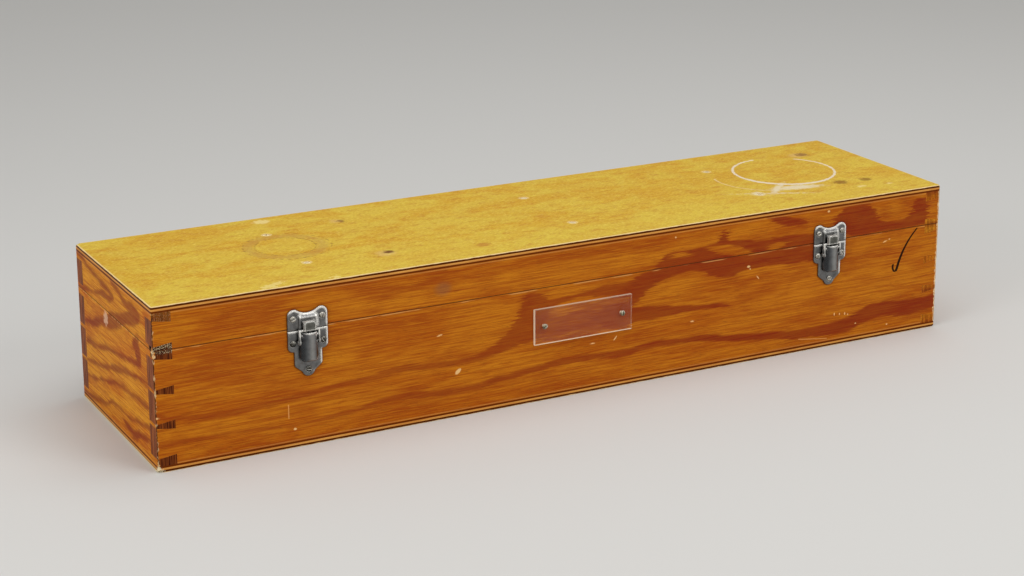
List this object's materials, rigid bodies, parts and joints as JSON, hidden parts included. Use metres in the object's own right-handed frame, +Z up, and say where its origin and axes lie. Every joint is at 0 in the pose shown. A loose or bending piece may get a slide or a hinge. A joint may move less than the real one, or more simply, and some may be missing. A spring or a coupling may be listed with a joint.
{
  "type": "wooden transport case",
  "caption": "Long dovetailed wooden transport case: hinged lid with a plywood top, draw latches on the front, felt-lined cradles inside and a blank clear plate.",
  "frame": {"origin": "centre of the underside, on the surface that the case stands on", "axes": "+X along the case, to the right seen from the latches; +Y to the hinges at the back; +Z up"},
  "size_m": [0.9144, 0.2509, 0.1651],
  "materials": {
    "board_wood": "worn amber varnish on solid softwood",
    "plywood": "worn golden varnish on three-ply softwood panel",
    "support_wood": "bare sanded softwood",
    "felt": "dense green wool felt",
    "latch_nickel": "dulled nickel plating on pressed steel",
    "hinge_steel": "dulled nickel plating on steel",
    "screw_steel": "worn plated steel",
    "clear_plastic": "clear acrylic sheet with polished faces and frosted edges"
  },
  "bodies": {
    "base": {"base_back_board": "board_wood", "base_front_board": "board_wood", "base_left_end": "board_wood", "base_right_end": "board_wood", "bottom_panel": "plywood", "cradle_screws": "screw_steel", "left_cradle": "support_wood", "left_cradle_felt": "felt", "left_hinge_lower_leaf": "hinge_steel", "left_hinge_lower_screws": "hinge_steel", "left_hinge_pin": "hinge_steel", "left_latch_base_plate": "latch_nickel", "left_latch_base_screws": "latch_nickel", "left_latch_fulcrum_pin": "latch_nickel", "middle_cradle": "support_wood", "middle_cradle_felt": "felt", "name_plate": "clear_plastic", "name_plate_screws": "screw_steel", "right_cradle": "support_wood", "right_cradle_felt": "felt", "right_hinge_lower_leaf": "hinge_steel", "right_hinge_lower_screws": "hinge_steel", "right_hinge_pin": "hinge_steel", "right_latch_base_plate": "latch_nickel", "right_latch_base_screws": "latch_nickel", "right_latch_fulcrum_pin": "latch_nickel"},
    "lid": {"left_catch_plate": "latch_nickel", "left_catch_screws": "latch_nickel", "left_hinge_upper_leaf": "hinge_steel", "left_hinge_upper_screws": "hinge_steel", "left_hold_down": "support_wood", "left_hold_down_felt": "felt", "lid_back_board": "board_wood", "lid_front_board": "board_wood", "lid_left_end": "board_wood", "lid_right_end": "board_wood", "lid_screws": "screw_steel", "lid_top_panel": "plywood", "middle_hold_down": "support_wood", "middle_hold_down_felt": "felt", "right_catch_plate": "latch_nickel", "right_catch_screws": "latch_nickel", "right_hinge_upper_leaf": "hinge_steel", "right_hinge_upper_screws": "hinge_steel", "right_hold_down": "support_wood", "right_hold_down_felt": "felt"},
    "left_lever": {"left_latch_claw_rivets": "latch_nickel", "left_latch_lever": "latch_nickel"},
    "right_lever": {"right_latch_claw_rivets": "latch_nickel", "right_latch_lever": "latch_nickel"},
    "left_claw": {"left_latch_claw": "latch_nickel"},
    "right_claw": {"right_latch_claw": "latch_nickel"}
  },
  "joints": [
    {"name": "lid_hinge", "type": "hinge", "parent": "base", "child": "lid", "pos_m": [0, 0.121, 0.1214], "axis": [-1, 0, 0], "range_deg": [0, 180]},
    {"name": "left_lever_lift", "type": "hinge", "parent": "base", "child": "left_lever", "pos_m": [-0.302, -0.1227, 0.1148], "axis": [-1, 0, 0], "range_deg": [0, 95]},
    {"name": "left_claw_swing", "type": "hinge", "parent": "left_lever", "child": "left_claw", "pos_m": [-0.302, -0.1221, 0.108], "axis": [-1, 0, 0], "range_deg": [-114.5, 0]},
    {"name": "right_lever_lift", "type": "hinge", "parent": "base", "child": "right_lever", "pos_m": [0.309, -0.1227, 0.1148], "axis": [-1, 0, 0], "range_deg": [0, 95]},
    {"name": "right_claw_swing", "type": "hinge", "parent": "right_lever", "child": "right_claw", "pos_m": [0.309, -0.1221, 0.108], "axis": [-1, 0, 0], "range_deg": [-114.5, 0]}
  ],
  "couplings": [
    {"joint": "left_claw_swing", "follows": "left_lever_lift", "ratio": -1.2},
    {"joint": "right_claw_swing", "follows": "right_lever_lift", "ratio": -1.2}
  ]
}
